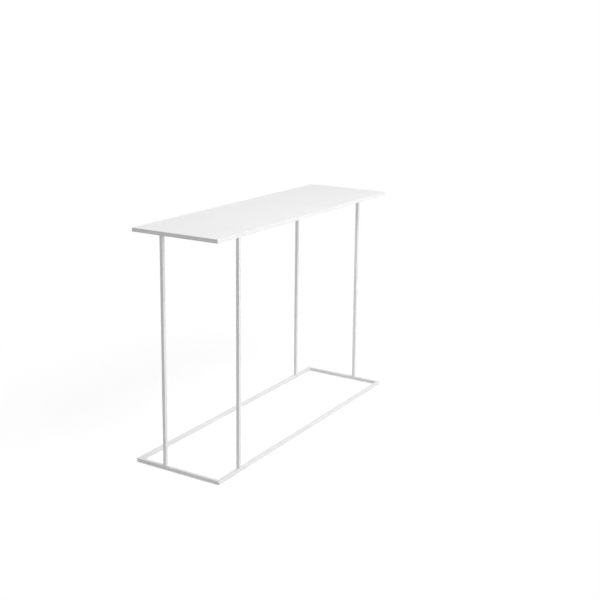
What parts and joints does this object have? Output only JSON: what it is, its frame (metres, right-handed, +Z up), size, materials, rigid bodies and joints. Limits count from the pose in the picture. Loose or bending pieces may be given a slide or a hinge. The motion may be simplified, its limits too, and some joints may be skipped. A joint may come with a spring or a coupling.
{
  "type": "console table",
  "caption": "Narrow fixed console table of white powder-coated steel: a thin flat top and an open floor ring joined by slim square legs that stand in a pinwheel.",
  "frame": {"origin": "on the floor, under the middle of the top", "axes": "+X along the length to the right seen from the front, +Y from the front to the back, +Z up"},
  "size_m": [1, 0.3, 0.71],
  "materials": {
    "powder_coat": "satin white powder coat on steel",
    "glide_nylon": "matt off-white nylon"
  },
  "bodies": {
    "root": {"base_front_bar": "powder_coat", "base_right_bar": "powder_coat", "base_back_bar": "powder_coat", "base_left_bar": "powder_coat", "top_front_bar": "powder_coat", "top_right_bar": "powder_coat", "top_back_bar": "powder_coat", "top_left_bar": "powder_coat", "front_leg": "powder_coat", "right_leg": "powder_coat", "back_leg": "powder_coat", "left_leg": "powder_coat", "top_sheet": "powder_coat", "front_leg_welds": "powder_coat", "right_leg_welds": "powder_coat", "back_leg_welds": "powder_coat", "left_leg_welds": "powder_coat", "base_corner_welds": "powder_coat", "top_corner_welds": "powder_coat", "long_side_stitch_welds": "powder_coat", "short_side_stitch_welds": "powder_coat", "front_left_glide": "glide_nylon", "front_middle_glide": "glide_nylon", "front_right_glide": "glide_nylon", "back_left_glide": "glide_nylon", "back_middle_glide": "glide_nylon", "back_right_glide": "glide_nylon"}
  },
  "joints": []
}
